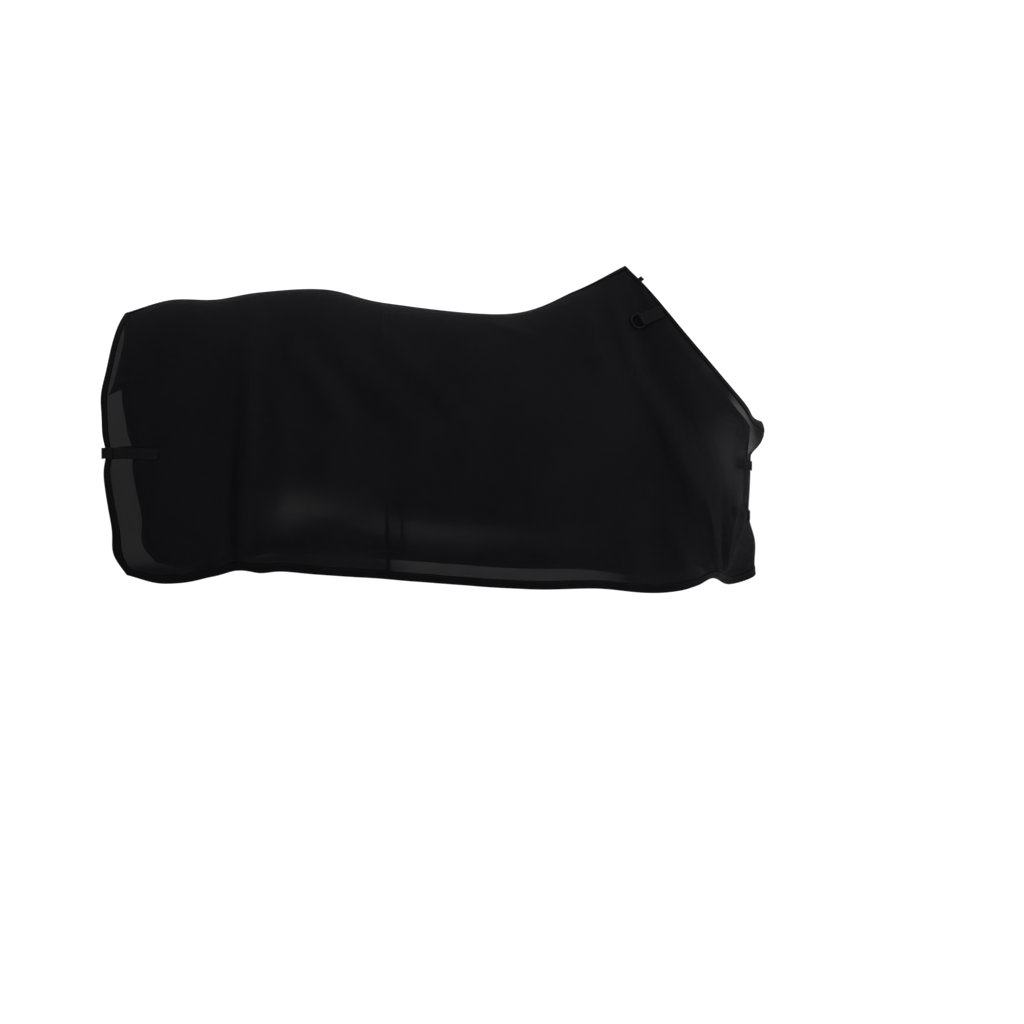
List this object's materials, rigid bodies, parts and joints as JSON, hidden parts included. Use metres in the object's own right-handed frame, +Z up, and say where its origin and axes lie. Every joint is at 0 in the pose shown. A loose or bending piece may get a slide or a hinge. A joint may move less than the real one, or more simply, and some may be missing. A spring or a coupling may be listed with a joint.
{
  "type": "fly sheet",
  "caption": "Black mesh horse rug with bound edges, tail flap, tail strap, neck tabs with D-rings and a buckled lapped chest.",
  "frame": {"origin": "top of the horse's withers, under the back seam at the start of the neck opening, where the sheet hangs", "axes": "+X to the horse's head, +Y to the horse's left, +Z up"},
  "size_m": [1.7361, 0.6216, 0.8403],
  "materials": {
    "mesh": "fine knitted polyester mesh, matt near-black",
    "binding": "folded woven tape with two rows of stitching, black",
    "webbing": "ribbed flat webbing, black",
    "hardware": "black coated steel, satin"
  },
  "bodies": {
    "sheet": {"rear_panel_right": "mesh", "front_panel_right": "mesh", "hem_binding_right": "binding", "neck_binding_right": "binding", "rear_binding_right": "binding", "front_binding_right": "binding", "rear_tab_right": "webbing", "neck_tab_right": "webbing", "rear_panel_left": "mesh", "front_panel_left": "mesh", "hem_binding_left": "binding", "neck_binding_left": "binding", "rear_binding_left": "binding", "front_binding_left": "binding", "rear_tab_left": "webbing", "neck_tab_left": "webbing", "back_seam_tape": "binding", "tail_strap": "webbing", "neck_edge_tag": "webbing", "chest_strap_upper": "webbing", "buckle_tab_upper": "webbing", "buckle_frame_upper": "hardware", "strap_keeper_upper": "webbing", "chest_strap_lower": "webbing", "buckle_tab_lower": "webbing", "buckle_frame_lower": "hardware", "strap_keeper_lower": "webbing"},
    "neck_ring_right": {"neck_ring_right": "hardware"},
    "neck_ring_left": {"neck_ring_left": "hardware"},
    "tail_flap": {"tail_flap": "mesh", "tail_flap_binding": "binding"},
    "buckle_prong_upper": {"buckle_prong_upper": "hardware"},
    "buckle_prong_lower": {"buckle_prong_lower": "hardware"}
  },
  "joints": [
    {"name": "neck_ring_right_swing", "type": "hinge", "parent": "sheet", "child": "neck_ring_right", "pos_m": [0.03453, -0.12986, -0.14627], "axis": [-0.3627, 0.5132, 0.7779], "range_deg": [0, 150]},
    {"name": "neck_ring_left_swing", "type": "hinge", "parent": "sheet", "child": "neck_ring_left", "pos_m": [0.03453, 0.12986, -0.14627], "axis": [0.3627, 0.5132, -0.7779], "range_deg": [0, 150]},
    {"name": "tail_flap_lift", "type": "hinge", "parent": "sheet", "child": "tail_flap", "pos_m": [-1.308, 0, -0.138], "axis": [0, 1, 0], "range_deg": [0, 70]},
    {"name": "buckle_prong_upper_lift", "type": "hinge", "parent": "sheet", "child": "buckle_prong_upper", "pos_m": [0.32216, 0.09259, -0.524], "axis": [0, 0, 1], "range_deg": [0, 75]},
    {"name": "buckle_prong_lower_lift", "type": "hinge", "parent": "sheet", "child": "buckle_prong_lower", "pos_m": [0.31675, 0.09362, -0.655], "axis": [0, 0, 1], "range_deg": [0, 75]}
  ]
}
